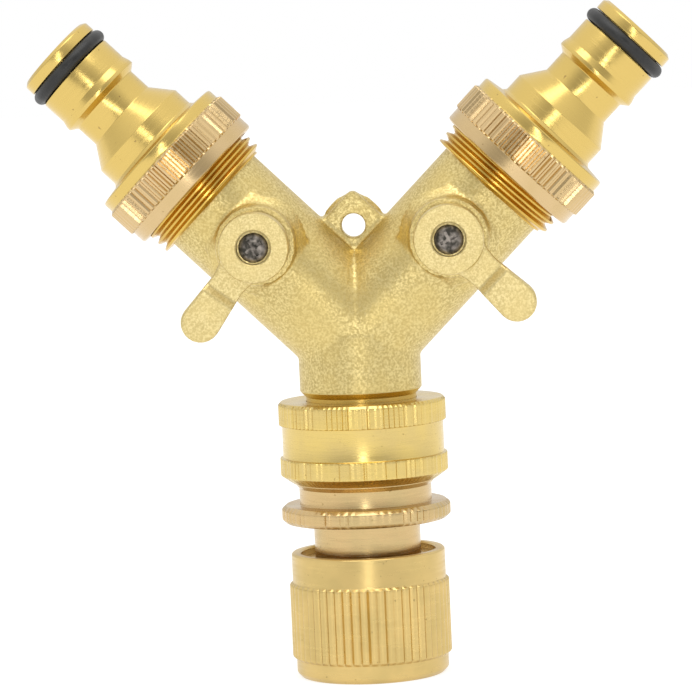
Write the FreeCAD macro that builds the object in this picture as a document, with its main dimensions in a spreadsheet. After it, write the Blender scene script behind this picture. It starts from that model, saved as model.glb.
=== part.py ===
import FreeCAD, Part
import math
import os
import re
import Sketcher

# Two-way brass hose splitter.  Millimetres, +Z up through the inlet, front towards -Y.
# The origin is the centre of the quick connector's mouth, on the plane that it stands on.

sizes = {
    # casting
    "joint_height": 65.3,        # where the arm axes cross the inlet axis
    "arm_angle": 45,             # each arm from vertical
    "arm_radius": 11.27,
    "arm_relief": 37.1,          # where the cast arm ends and its thread begins
    "arm_length": 48.6,
    "thread_radius": 13.22,      # 3/4 inch pipe thread, outside
    "thread_chamfer": 1.2,
    "neck_radius": 11.57,
    "neck_chamfer": 1.15,
    "neck_shoulder": 54.55,      # underside of the full-size neck
    "pivot_radius": 10.45,       # turned end that the swivel nut runs on
    "neck_end": 47.4,
    "ring_groove": 0.9,
    "inlet_bore": 7.0,
    "passage_radius": 5.0,
    "crotch_fillet": 3.0,
    "boss_radius": 7.5,
    "boss_top": 15.2,            # above the mid plane
    "boss_fillet": 1.4,
    "lug_half_side": 5.0,
    "lug_corner": 1.6,
    "lug_thickness": 4.0,
    "lug_height": 20.35,         # hole centre above the crossing of the axes
    "lug_hole": 2.25,
    "flash_radius": 5.9,
    "flash_thickness": 0.8,
    "stop_inner": 4.7,
    "stop_start": 100,           # from the lever to its groove
    "stop_width": 24,
    "stop_height": 1.3,
    # valve
    "stem_distance": 25.5,       # along the arm
    "ball_radius": 7.6,
    "ball_bore": 4.6,
    "cavity_radius": 8.4,
    "seat_bore": 4.9,
    "seat_start": 5.2,           # from the ball's centre
    "seat_end": 9.1,
    "retainer_length": 5.0,
    "retainer_bore": 5.0,
    "tang_width": 3.0,
    "tang_length": 6.6,
    "tang_depth": 2.0,
    "collar_radius": 3.7,
    "collar_top": 9.3,
    "stem_radius": 2.9,
    "seal_wire": 0.75,
    "seal_first": 11.0,
    "seal_second": 13.4,
    "square_size": 4.0,
    "square_top": 19.6,
    "quarter_turn": 90,
    "left_rest": 7.3,            # lever angle past closed, as it stands
    "right_rest": 0,
    # lever
    "head_radius": 6.5,
    "head_bottom": 15.4,
    "head_top": 22.0,
    "head_edge": 0.5,
    "counterbore_radius": 3.15,
    "counterbore_depth": 1.5,
    "lever_reach": 17.1,
    "lever_end_radius": 3.7,
    "lever_waist_radius": 3.1,
    "lever_waist": 8.5,
    "lever_bottom": 15.6,
    "pad_top": 20.2,
    "neck_top": 19.2,
    "pad_start": 11.0,
    "screw_head_radius": 2.75,
    "screw_head_height": 1.1,
    "screw_radius": 1.45,
    "screw_length": 5.0,
    # outlet adaptor, stations along the arm
    "nut_face": 41.3,
    "nut_smooth_radius": 14.84,
    "nut_knurl_radius": 15.3,
    "nut_knurl_start": 44.1,
    "nut_knurl_end": 49.3,
    "nut_disc_radius": 14.66,
    "nut_disc_start": 49.9,
    "nut_disc_end": 51.8,
    "nut_edge": 0.7,
    "shoulder_radius": 10.4,
    "shoulder_start": 52.5,
    "shoulder_end": 56.4,
    "groove_radius": 7.35,
    "groove_start": 60.6,
    "groove_end": 65.0,
    "ridge_radius": 8.71,
    "ridge_start": 66.0,
    "barrel_radius": 8.32,
    "barrel_start": 68.0,
    "o_ring_place": 74.1,
    "o_ring_wire": 1.35,
    "o_ring_radius": 7.74,       # to the middle of the wire
    "nipple_end": 78.0,
    "nipple_edge": 0.8,
    "nipple_bore": 5.0,
    "nipple_flare": 6.3,
    "washer_thickness": 2.0,
    "washer_bore": 6.6,
    # swivel nut, heights
    "swivel_top": 52.65,
    "swivel_web": 2.2,
    "swivel_bottom": 37.1,
    "swivel_knurl_radius": 15.9,
    "swivel_smooth_radius": 15.33,
    "swivel_knurl_one": 48.25,
    "swivel_knurl_two": 42.05,
    "swivel_chamfer": 1.6,
    "swivel_edge": 0.5,
    "swivel_lip": 13.6,
    "retaining_radius": 12.0,
    "retaining_thickness": 1.1,
    # quick connector, heights
    "male_end": 45.4,
    "relief_radius": 12.57,
    "flange_radius": 16.04,
    "flange_top": 32.95,
    "flange_bottom": 29.55,
    "flange_edge": 0.8,
    "socket_neck": 10.1,
    "spring_collar": 12.8,
    "spring_collar_top": 22.4,
    "spring_collar_bottom": 20.4,
    "guide_bore": 8.85,          # clears the ridge of a nipple
    "guide_end": 11.6,
    "lock_race_radius": 9.05,
    "lock_race_half": 1.9,
    "sealing_bore": 8.6,
    "socket_depth": 21.6,
    "socket_lead": 0.8,
    "connector_bore": 6.0,
    "ball_height": 6.9,
    "lock_radius": 1.6,
    "lock_place": 9.4,
    "lock_travel": 1.1,
    "lock_lip": 0.04,            # radial, keeps a ball from falling into the socket
    "lock_seat": 0.75,
    "lock_gap": 0.12,            # ball to the sleeve's ramp
    "sleeve_travel": 4.5,
    "snap_bottom": 0.7,
    "snap_thickness": 1.1,
    "snap_depth": 0.7,
    "snap_radius": 12.75,
    # sleeve, heights
    "sleeve_height": 23.75,
    "sleeve_rim_radius": 14.6,
    "sleeve_flute_radius": 15.2,
    "sleeve_foot_radius": 14.48,
    "flute_top": 18.15,
    "flute_bottom": 3.55,
    "sleeve_edge": 0.9,
    "sleeve_mouth": 13.0,
    "rib_top": 8.9,
    "rib_bottom": 1.95,
    "spring_wire": 0.55,
    "spring_radius": 11.55,
    "spring_turns": 4.5,
    # clearances
    "running": 0.05,             # radial, in running fits
    "seat_gap": 0.08,            # ball to seat
    "gap": 0.3,                  # faces that only pass each other
    "thread_gap": 0.05,
    "turn_spare": 2,             # degrees left at each stop
}

sides = {"left": -1, "right": 1}
lockCount = 4
screenHoles = 8

document = FreeCAD.newDocument("hose_splitter")
sheet = document.addObject("Spreadsheet::Sheet", "Sizes")
for row, (alias, value) in enumerate(sizes.items(), start=1):
    sheet.set(f"A{row}", alias)
    sheet.set(f"B{row}", str(value))
    sheet.setAlias(f"B{row}", alias)
document.recompute()

aliasPattern = re.compile(r"\b(" + "|".join(sizes) + r")\b")


def bound(text):
    """Turn plain size names into references to the sheet."""
    return aliasPattern.sub(r"Sizes.\1", text)


def bind(item, **properties):
    for name, text in properties.items():
        item.setExpression(name, bound(text))


def primitive(kind, name, **properties):
    item = document.addObject("Part::" + kind, name)
    bind(item, **properties)
    return item


def place(item, base=("0", "0", "0"), *turns):
    """Put a piece at base after its turns, each an axis and an angle, the last one first."""
    rotation = " * ".join(
        f"rotation(vector({axis[0]}; {axis[1]}; {axis[2]}); {angle})" for axis, angle in turns
    ) or "rotation(vector(0; 0; 1); 0)"
    at = "; ".join(base)
    item.setExpression("Placement", bound(f"placement(vector({at}); {rotation})"))
    return item


def combine(kind, name, parts):
    item = document.addObject("Part::" + kind, name)
    if kind in ("MultiFuse", "MultiCommon"):
        item.Shapes = parts
    else:
        item.Base, item.Tool = parts
    if kind in ("MultiFuse", "Cut"):
        item.Refine = True
    return item


def outlineSketch(body, name, planeRole, outline):
    """A closed outline of straight lines whose corners are held by sheet expressions."""
    sketch = body.newObject("Sketcher::SketchObject", name)
    plane = [f for f in body.Origin.OriginFeatures if f.Role == planeRole][0]
    sketch.AttachmentSupport = [(plane, "")]
    sketch.MapMode = "FlatFace"
    count = len(outline)
    corners = [
        FreeCAD.Vector(20 + math.cos(math.tau * i / count), math.sin(math.tau * i / count), 0)
        for i in range(count)
    ]
    for i in range(count):
        sketch.addGeometry(Part.LineSegment(corners[i], corners[(i + 1) % count]), False)
    for i in range(count):
        sketch.addConstraint(Sketcher.Constraint("Coincident", i, 2, (i + 1) % count, 1))
    for i, (across, along) in enumerate(outline):
        for kind, text in (("DistanceX", across), ("DistanceY", along)):
            start = corners[i].x if kind == "DistanceX" else corners[i].y
            index = sketch.addConstraint(Sketcher.Constraint(kind, -1, 1, i, 1, start))
            sketch.setExpression(f"Constraints[{index}]", bound(text))
    return sketch


def turned(name, outline):
    """A piece turned about its own Z axis from (radius, height) corners."""
    body = document.addObject("PartDesign::Body", name)
    sketch = outlineSketch(body, name + "_outline", "XZ_Plane", outline)
    revolution = body.newObject("PartDesign::Revolution", name + "_turning")
    revolution.Profile = sketch
    revolution.ReferenceAxis = (sketch, ["V_Axis"])
    revolution.Angle = 360
    body.Tip = revolution
    return body


def padded(name, outline, bottom, height):
    """A flat piece with an outline in plan, extruded upwards from bottom."""
    body = document.addObject("PartDesign::Body", name)
    sketch = outlineSketch(body, name + "_outline", "XY_Plane", outline)
    sketch.setExpression("AttachmentOffset.Base.z", bound(bottom))
    pad = body.newObject("PartDesign::Pad", name + "_pad")
    pad.Profile = sketch
    bind(pad, Length=height)
    body.Tip = pad
    return body


def arc(name, inner, outer, bottom, height, first, sweep):
    """Part of a flat ring about Z, from the angle first through sweep."""
    ring = primitive("Cylinder", name + "_outer", Radius=outer, Height=height, Angle=sweep)
    place(ring, ("0", "0", bottom), (("0", "0", "1"), first))
    core = primitive("Cylinder", name + "_inner", Radius=inner, Height=f"{height} + 2")
    place(core, ("0", "0", f"{bottom} - 1"))
    return combine("Cut", name, (ring, core))


def along(name, side):
    """Set a piece modelled up Z along an outlet arm."""
    item = document.getObject(name)
    item.Label = name
    return place(item, ("0", "0", "joint_height"), (("0", str(sides[side]), "0"), "arm_angle"))


def stemPlace(item, side, leverTurn):
    """Set a piece modelled up Z on a valve's stem, its X towards the lever."""
    sign = sides[side]
    base = (f"{sign} * stem_distance * sin(arm_angle)", "0",
            "joint_height + stem_distance * cos(arm_angle)")
    return place(item, base, (("0", "1", "0"), leverTurn), (("1", "0", "0"), "90"))


def leverAngle(side):
    """Turn about +Y that brings X onto the lever: closed is square to the arm, open is inward."""
    if side == "left":
        return "180 - arm_angle - left_rest"
    return "arm_angle + right_rest"


def hole(base, tools, name):
    tool = combine("MultiFuse", name + "_tools", tools) if len(tools) > 1 else tools[0]
    return combine("Cut", name, (base, tool))


def touches(point, radius, axisPoint, axisDirection):
    """True where a point lies on a cylinder of that radius."""
    offset = point.sub(axisPoint)
    distance = offset.cross(axisDirection).Length
    return abs(distance - radius) < 0.02


# ---- casting ----

def castOutside():
    neck = turned("neck_turning", [
        ("0", "neck_end"),
        ("pivot_radius", "neck_end"),
        ("pivot_radius", "swivel_top - swivel_web - 0.1 - retaining_thickness"),
        ("pivot_radius - ring_groove", "swivel_top - swivel_web - 0.1 - retaining_thickness"),
        ("pivot_radius - ring_groove", "swivel_top - swivel_web - 0.1"),
        ("pivot_radius", "swivel_top - swivel_web - 0.1"),
        ("pivot_radius", "neck_shoulder - neck_chamfer"),
        ("neck_radius", "neck_shoulder"),
        ("neck_radius", "joint_height"),
        ("0", "joint_height"),
    ])
    arms = []
    for side in sides:
        turned(side + "_arm", [
            ("0", "0"),
            ("arm_radius", "0"),
            ("arm_radius", "arm_relief"),
            ("thread_radius - 0.5", "arm_relief"),
            ("thread_radius", "arm_relief + 0.5"),
            ("thread_radius", "arm_length - thread_chamfer"),
            ("thread_radius - thread_chamfer", "arm_length"),
            ("0", "arm_length"),
        ])
        arms.append(along(side + "_arm", side))
    bosses = []
    for side in sides:
        boss = primitive("Cylinder", side + "_boss", Radius="boss_radius", Height="boss_top")
        bosses.append(stemPlace(boss, side, "0"))
    outside = combine("MultiFuse", "cast_outside", [neck] + arms + bosses)
    document.recompute()
    return outside


def softened(outside):
    """Round the root of each boss and the valley where the arms meet."""
    crossing = FreeCAD.Vector(0, 0, sizes["joint_height"])
    angle = math.radians(sizes["arm_angle"])
    edges = []
    for index, edge in enumerate(outside.Shape.Edges, start=1):
        middle = edge.valueAt((edge.FirstParameter + edge.LastParameter) / 2)
        for sign in sides.values():
            direction = FreeCAD.Vector(sign * math.sin(angle), 0, math.cos(angle))
            stem = crossing + direction * sizes["stem_distance"]
            onBoss = touches(middle, sizes["boss_radius"], stem, FreeCAD.Vector(0, 1, 0))
            onArm = touches(middle, sizes["arm_radius"], crossing, direction)
            if onBoss and onArm:
                edges.append((index, sizes["boss_fillet"], sizes["boss_fillet"]))
        if abs(middle.x) < 0.01 and middle.z > crossing.z + sizes["arm_radius"] / 2 and edge.Length > 5:
            edges.append((index, sizes["crotch_fillet"], sizes["crotch_fillet"]))
    fillet = document.addObject("Part::Fillet", "cast_fillets")
    fillet.Base = outside
    fillet.Edges = edges
    document.recompute()
    return fillet


def eyeletLug():
    """Diamond plate with rounded corners and the flash line behind its middle."""
    side = "2 * lug_half_side"
    block = primitive("Box", "lug_block", Length=side, Width="lug_thickness", Height=side)
    place(block, ("0", "-lug_thickness / 2", "joint_height + lug_height - lug_half_side * sqrt(2)"),
          (("0", "1", "0"), "-45"))
    document.recompute()
    upright = [
        (i, sizes["lug_corner"], sizes["lug_corner"])
        for i, edge in enumerate(block.Shape.Edges, start=1)
        if abs(edge.tangentAt(edge.FirstParameter).y) > 0.99
        and edge.CenterOfMass.z > sizes["joint_height"] + sizes["lug_height"] - 1
    ]
    plate = document.addObject("Part::Fillet", "lug_plate")
    plate.Base = block
    plate.Edges = upright
    flash = primitive("Cylinder", "lug_flash", Radius="flash_radius", Height="flash_thickness")
    place(flash, ("0", "flash_thickness + 0.4", "joint_height + lug_height"), (("1", "0", "0"), "90"))
    return [plate, flash]


def stopLug(side):
    """Cast stop on top of a boss; the lever's groove runs over it."""
    sign = sides[side]
    if side == "left":
        first = "stop_start + turn_spare + quarter_turn - left_rest"
    else:
        first = "right_rest - quarter_turn - turn_spare - stop_start - stop_width"
    lug = arc(side + "_stop", "stop_inner", "head_radius", "boss_top - 0.2", "stop_height + 0.2",
              first, "stop_width")
    return stemPlace(lug, side, leverAngle(side))


def waterways():
    """Everything bored out of the casting."""
    inlet = primitive("Cylinder", "inlet_hole", Radius="inlet_bore",
                      Height="joint_height - neck_end + 1")
    place(inlet, ("0", "0", "neck_end - 1"))
    eyelet = primitive("Cylinder", "eyelet_hole", Radius="lug_hole", Height="4 * lug_thickness")
    place(eyelet, ("0", "2 * lug_thickness", "joint_height + lug_height"), (("1", "0", "0"), "90"))
    tools = [inlet, eyelet]
    for side in sides:
        turned(side + "_waterway", [
            ("0", "0"),
            ("passage_radius", "0"),
            ("passage_radius", "stem_distance - seat_end - running"),
            ("cavity_radius", "stem_distance - seat_end - running"),
            ("cavity_radius", "arm_length + 1"),
            ("0", "arm_length + 1"),
        ])
        tools.append(along(side + "_waterway", side))
        turned(side + "_stem_hole", [
            ("0", "0"),
            ("collar_radius + running", "0"),
            ("collar_radius + running", "collar_top + gap"),
            ("stem_radius + running", "collar_top + gap"),
            ("stem_radius + running", "boss_top + stop_height + 1"),
            ("0", "boss_top + stop_height + 1"),
        ])
        tools.append(stemPlace(document.getObject(side + "_stem_hole"), side, "0"))
    return tools


def castBody():
    outside = softened(castOutside())
    extras = eyeletLug() + [stopLug(side) for side in sides]
    whole = combine("MultiFuse", "cast_whole", [outside] + extras)
    return hole(whole, waterways(), "y_body")


# ---- inlet ----

def inletPieces():
    turned("swivel_nut", [
        ("pivot_radius + running", "swivel_top - swivel_web"),
        ("pivot_radius + running", "swivel_top"),
        ("swivel_knurl_radius - swivel_edge", "swivel_top"),
        ("swivel_knurl_radius", "swivel_top - swivel_edge"),
        ("swivel_knurl_radius", "swivel_knurl_one"),
        ("swivel_smooth_radius", "swivel_knurl_one"),
        ("swivel_smooth_radius", "swivel_knurl_two"),
        ("swivel_knurl_radius", "swivel_knurl_two"),
        ("swivel_knurl_radius", "swivel_bottom + swivel_chamfer"),
        ("swivel_lip", "swivel_bottom"),
        ("thread_radius + thread_gap", "swivel_bottom"),
        ("thread_radius + thread_gap", "swivel_top - swivel_web"),
    ])
    groove = "pivot_radius - ring_groove + running"
    ringBottom = "swivel_top - swivel_web - 0.1 - retaining_thickness + 0.05"
    ring = arc("nut_retaining_ring", groove, "retaining_radius", ringBottom,
               "retaining_thickness - 0.1", "8", "344")
    ring.Label = "nut_retaining_ring"
    turned("inlet_washer", [
        ("inlet_bore + 0.4", "male_end"),
        ("thread_radius - 1.1", "male_end"),
        ("thread_radius - 1.1", "neck_end"),
        ("inlet_bore + 0.4", "neck_end"),
    ])
    screenDisc = primitive("Cylinder", "screen_disc", Radius="inlet_bore + 0.3", Height="0.5")
    place(screenDisc, ("0", "0", "male_end + 0.6"))
    holes = []
    for ring_index, share in enumerate(("0.38", "0.76")):
        for i in range(screenHoles):
            drill = primitive("Cylinder", f"screen_hole_{ring_index}_{i}",
                              Radius=f"inlet_bore * 0.12 * (1 + {ring_index} * 0.25)", Height="2")
            angle = f"{360 * (i + 0.5 * ring_index) / screenHoles}"
            place(drill, (f"inlet_bore * {share} * cos({angle})",
                          f"inlet_bore * {share} * sin({angle})", "male_end"))
            holes.append(drill)
    hole(screenDisc, holes, "filter_screen")


# ---- quick connector ----

def connectorPieces():
    snapTop = "snap_bottom + snap_thickness"
    turned("connector_turning", [
        ("guide_bore + socket_lead", "0"),
        ("socket_neck - 0.3", "0"),
        ("socket_neck", "0.3"),
        ("socket_neck", "snap_bottom"),
        ("socket_neck - snap_depth", "snap_bottom"),
        ("socket_neck - snap_depth", snapTop),
        ("socket_neck", snapTop),
        ("socket_neck", "spring_collar_bottom"),
        ("spring_collar", "spring_collar_bottom"),
        ("spring_collar", "spring_collar_top"),
        ("socket_neck", "spring_collar_top"),
        ("socket_neck", "flange_bottom"),
        ("flange_radius - flange_edge", "flange_bottom"),
        ("flange_radius", "flange_bottom + flange_edge"),
        ("flange_radius", "flange_top - flange_edge"),
        ("flange_radius - flange_edge", "flange_top"),
        ("relief_radius", "flange_top"),
        ("relief_radius", "swivel_bottom - 1"),
        ("thread_radius", "swivel_bottom - 0.2"),
        ("thread_radius", "male_end - thread_chamfer"),
        ("thread_radius - thread_chamfer", "male_end"),
        ("connector_bore", "male_end"),
        ("connector_bore", "socket_depth"),
        ("sealing_bore", "socket_depth"),
        ("sealing_bore", "guide_end + 0.5"),
        ("guide_bore", "guide_end"),
        ("guide_bore", "ball_height + lock_race_half"),
        ("lock_race_radius", "ball_height + lock_race_half"),
        ("lock_race_radius", "ball_height - lock_race_half"),
        ("guide_bore", "ball_height - lock_race_half"),
        ("guide_bore", "socket_lead"),
    ])
    drills = []
    for i in range(lockCount):
        drill = primitive("Cone", f"lock_hole_{i}", Radius1="lock_radius - lock_lip",
                          Radius2="lock_radius + running", Height="lock_seat")
        outer = primitive("Cylinder", f"lock_hole_outer_{i}", Radius="lock_radius + running",
                          Height="4")
        angle = f"{360 * (i + 0.5) / lockCount}"
        for piece, start in ((drill, "lock_race_radius - 0.3"), (outer, "lock_race_radius - 0.31 + lock_seat")):
            place(piece, (f"({start}) * cos({angle})", f"({start}) * sin({angle})", "ball_height"),
                  (("0", "0", "1"), angle), (("0", "1", "0"), "90"))
        drills += [drill, outer]
    hole(document.getObject("connector_turning"), drills, "connector_body")

    rib = "lock_place + lock_radius + lock_gap"
    opened = f"{rib} + lock_travel + 0.05"
    rampEnd = "ball_height - sleeve_travel * (lock_travel + 0.05) / lock_travel"
    turned("connector_sleeve", [
        ("sleeve_mouth", "0"),
        ("sleeve_foot_radius - sleeve_edge", "0"),
        ("sleeve_foot_radius", "sleeve_edge"),
        ("sleeve_foot_radius", "flute_bottom"),
        ("sleeve_flute_radius", "flute_bottom + 0.4"),
        ("sleeve_flute_radius", "flute_top - 0.4"),
        ("sleeve_rim_radius", "flute_top"),
        ("sleeve_rim_radius", "sleeve_height - 0.3"),
        ("sleeve_rim_radius - 0.3", "sleeve_height"),
        ("spring_collar + running + 0.3", "sleeve_height"),
        ("spring_collar + running", "sleeve_height - 0.3"),
        ("spring_collar + running", "rib_top"),
        (rib, "rib_top"),
        (rib, "ball_height"),
        (opened, rampEnd),
        (opened, "rib_bottom"),
        ("sleeve_mouth", "rib_bottom"),
    ])
    ring = arc("sleeve_snap_ring", "socket_neck - snap_depth + running", "snap_radius",
               "snap_bottom + 0.05", "snap_thickness - 0.1", "8", "344")
    ring.Label = "sleeve_snap_ring"

    helix = primitive("Helix", "spring_path", Radius="spring_radius",
                      Pitch="(spring_collar_bottom - rib_top - 2 * spring_wire - 0.2) / spring_turns",
                      Height="spring_collar_bottom - rib_top - 2 * spring_wire - 0.2")
    place(helix, ("0", "0", "rib_top + spring_wire + 0.1"))
    wire = primitive("Circle", "spring_section", Radius="spring_wire")
    place(wire, ("spring_radius", "0", "rib_top + spring_wire + 0.1"), (("1", "0", "0"), "90"))
    sweep = document.addObject("Part::Sweep", "sleeve_spring")
    sweep.Sections = [wire]
    sweep.Spine = (helix, [])
    sweep.Solid = True
    sweep.Frenet = True
    document.recompute()

    for i in range(lockCount):
        ball = primitive("Sphere", f"locking_ball_{i + 1}", Radius="lock_radius")
        angle = f"{360 * (i + 0.5) / lockCount}"
        place(ball, (f"lock_place * cos({angle})", f"lock_place * sin({angle})", "ball_height"))


# ---- valves ----

def handle(side):
    head = primitive("Cylinder", side + "_head", Radius="head_radius",
                     Height="head_top - head_bottom")
    place(head, ("0", "0", "head_bottom"))
    lever = padded(side + "_lever", [
        ("0", "-head_radius * 0.72"),
        ("lever_waist", "-lever_waist_radius"),
        ("lever_reach", "-lever_end_radius"),
        ("lever_reach", "lever_end_radius"),
        ("lever_waist", "lever_waist_radius"),
        ("0", "head_radius * 0.72"),
    ], "lever_bottom", "head_top - lever_bottom")
    tip = primitive("Cylinder", side + "_lever_end", Radius="lever_end_radius",
                    Height="head_top - lever_bottom")
    place(tip, ("lever_reach", "0", "lever_bottom"))
    plan = combine("MultiFuse", side + "_lever_plan", [lever, tip])
    profile = padded(side + "_profile", [
        ("0", "lever_bottom"),
        ("lever_reach + lever_end_radius + 1", "lever_bottom"),
        ("lever_reach + lever_end_radius + 1", "pad_top"),
        ("pad_start", "pad_top"),
        ("pad_start", "neck_top"),
        ("head_radius * 0.9", "neck_top"),
        ("head_radius * 0.3", "head_top"),
        ("0", "head_top"),
    ], "-head_radius - 1", "2 * head_radius + 2")
    place(profile, ("0", "0", "0"), (("1", "0", "0"), "90"))
    arm = combine("MultiCommon", side + "_lever_shape", [plan, profile])
    solid = combine("MultiFuse", side + "_handle_solid", [head, arm])
    counterbore = primitive("Cylinder", side + "_counterbore", Radius="counterbore_radius",
                            Height="counterbore_depth + 1")
    place(counterbore, ("0", "0", "head_top - counterbore_depth"))
    square = primitive("Box", side + "_square_hole", Length="square_size + 2 * running",
                       Width="square_size + 2 * running",
                       Height="square_top + 0.1 - head_bottom + 1")
    place(square, ("-square_size / 2 - running", "-square_size / 2 - running", "head_bottom - 1"))
    screwHole = primitive("Cylinder", side + "_screw_hole", Radius="screw_radius + 0.15", Height="20")
    place(screwHole, ("0", "0", "head_bottom"))
    sweep = "quarter_turn + stop_width + 2 * turn_spare"
    first = "stop_start" if side == "left" else f"-stop_start - ({sweep})"
    groove = arc(side + "_stop_groove", "stop_inner - gap", "head_radius + 2", "head_bottom - 1",
                 "stop_height + gap + 1", first, sweep)
    hole(solid, [counterbore, square, screwHole, groove], side + "_handle")
    stemPlace(document.getObject(side + "_handle"), side, leverAngle(side))


def screw(side):
    turned(side + "_screw_turning", [
        ("0", "square_top + 0.9 - screw_length - 0.5"),
        ("screw_radius", "square_top + 0.9 - screw_length"),
        ("screw_radius", "head_top - counterbore_depth"),
        ("screw_head_radius", "head_top - counterbore_depth"),
        ("screw_head_radius", "head_top - counterbore_depth + screw_head_height * 0.6"),
        ("screw_head_radius * 0.75", "head_top - counterbore_depth + screw_head_height"),
        ("0", "head_top - counterbore_depth + screw_head_height"),
    ])
    slots = []
    for i in range(2):
        slot = primitive("Box", f"{side}_slot_{i}", Length="2 * screw_head_radius * 0.7",
                         Width="0.7", Height="2")
        place(slot, ("-screw_head_radius * 0.7 * cos(45) + 0.35 * cos(45)" if i == 0 else
                     "screw_head_radius * 0.7 * cos(45) + 0.35 * cos(45)",
                     "-screw_head_radius * 0.7 * sin(45) - 0.35 * sin(45)" if i == 0 else
                     "-screw_head_radius * 0.7 * sin(45) + 0.35 * sin(45)",
                     "head_top - counterbore_depth + 0.2"),
              (("0", "0", "1"), "45" if i == 0 else "135"))
        slots.append(slot)
    hole(document.getObject(side + "_screw_turning"), slots, side + "_handle_screw")
    stemPlace(document.getObject(side + "_handle_screw"), side, leverAngle(side))


def stem(side):
    turned(side + "_stem_turning", [
        ("0", "ball_radius - 0.3"),
        ("collar_radius", "ball_radius - 0.3"),
        ("collar_radius", "collar_top"),
        ("stem_radius", "collar_top"),
        ("stem_radius", "seal_first - seal_wire"),
        ("stem_radius - 2 * seal_wire + 0.1", "seal_first - seal_wire"),
        ("stem_radius - 2 * seal_wire + 0.1", "seal_first + seal_wire"),
        ("stem_radius", "seal_first + seal_wire"),
        ("stem_radius", "seal_second - seal_wire"),
        ("stem_radius - 2 * seal_wire + 0.1", "seal_second - seal_wire"),
        ("stem_radius - 2 * seal_wire + 0.1", "seal_second + seal_wire"),
        ("stem_radius", "seal_second + seal_wire"),
        ("stem_radius", "square_top"),
        ("0", "square_top"),
    ])
    # the ball is round where the collar meets it
    hollow = primitive("Sphere", side + "_stem_hollow", Radius="ball_radius + running")
    seated = combine("Cut", side + "_stem_seated", (document.getObject(side + "_stem_turning"), hollow))
    frame = primitive("Cylinder", side + "_square_round", Radius="stem_radius + 1", Height="6")
    place(frame, ("0", "0", "head_bottom"))
    core = primitive("Box", side + "_square_core", Length="square_size", Width="square_size", Height="8")
    place(core, ("-square_size / 2", "-square_size / 2", "head_bottom - 1"))
    flats = combine("Cut", side + "_square_flats", (frame, core))
    tapped = primitive("Cylinder", side + "_tapped_hole", Radius="screw_radius", Height="10")
    place(tapped, ("0", "0", "square_top - screw_length"))
    shank = hole(seated, [flats, tapped], side + "_stem_shank")
    tang = primitive("Box", side + "_tang", Length="tang_length", Width="tang_width",
                     Height="tang_depth + 1.2")
    place(tang, ("-tang_length / 2", "-tang_width / 2", "ball_radius - tang_depth"))
    combine("MultiFuse", side + "_valve_stem", [shank, tang])
    stemPlace(document.getObject(side + "_valve_stem"), side, leverAngle(side))
    seals = []
    for place_name in ("seal_first", "seal_second"):
        seal = primitive("Torus", f"{side}_{place_name}", Radius2="seal_wire - running",
                         Radius1="stem_radius - seal_wire + 0.08")
        place(seal, ("0", "0", place_name))
        seals.append(seal)
    group = document.addObject("Part::Compound", side + "_stem_seals")
    group.Links = seals
    stemPlace(group, side, leverAngle(side))


def valveBall(side):
    ball = primitive("Sphere", side + "_ball_sphere", Radius="ball_radius")
    bore = primitive("Cylinder", side + "_ball_bore", Radius="ball_bore", Height="3 * ball_radius")
    place(bore, ("-1.5 * ball_radius", "0", "0"), (("0", "1", "0"), "90"))
    slot = primitive("Box", side + "_ball_slot", Length="tang_length + 0.2",
                     Width="tang_width + 0.1", Height="tang_depth + 2")
    place(slot, ("-tang_length / 2 - 0.1", "-tang_width / 2 - 0.05", "ball_radius - tang_depth - 0.05"))
    hole(ball, [bore, slot], side + "_valve_ball")
    stemPlace(document.getObject(side + "_valve_ball"), side, leverAngle(side))


def seats(side):
    outer = "cavity_radius - running"
    for which, sign in (("inner", -1), ("outer", 1)):
        low, high = ("seat_start", "seat_end") if sign > 0 else ("-seat_end", "-seat_start")
        ring = turned(f"{side}_{which}_seat_ring", [
            ("seat_bore", f"stem_distance + {low}"),
            (outer, f"stem_distance + {low}"),
            (outer, f"stem_distance + {high}"),
            ("seat_bore", f"stem_distance + {high}"),
        ])
        sphere = primitive("Sphere", f"{side}_{which}_seat_sphere", Radius="ball_radius + seat_gap")
        place(sphere, ("0", "0", "stem_distance"))
        combine("Cut", f"{side}_{which}_seat", (ring, sphere))
        along(f"{side}_{which}_seat", side)
    turned(side + "_seat_retainer", [
        ("retainer_bore", "stem_distance + seat_end"),
        (outer, "stem_distance + seat_end"),
        (outer, "stem_distance + seat_end + retainer_length"),
        ("retainer_bore + 0.8", "stem_distance + seat_end + retainer_length"),
        ("retainer_bore", "stem_distance + seat_end + retainer_length - 0.8"),
    ])
    along(side + "_seat_retainer", side)


# ---- outlets ----

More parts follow.
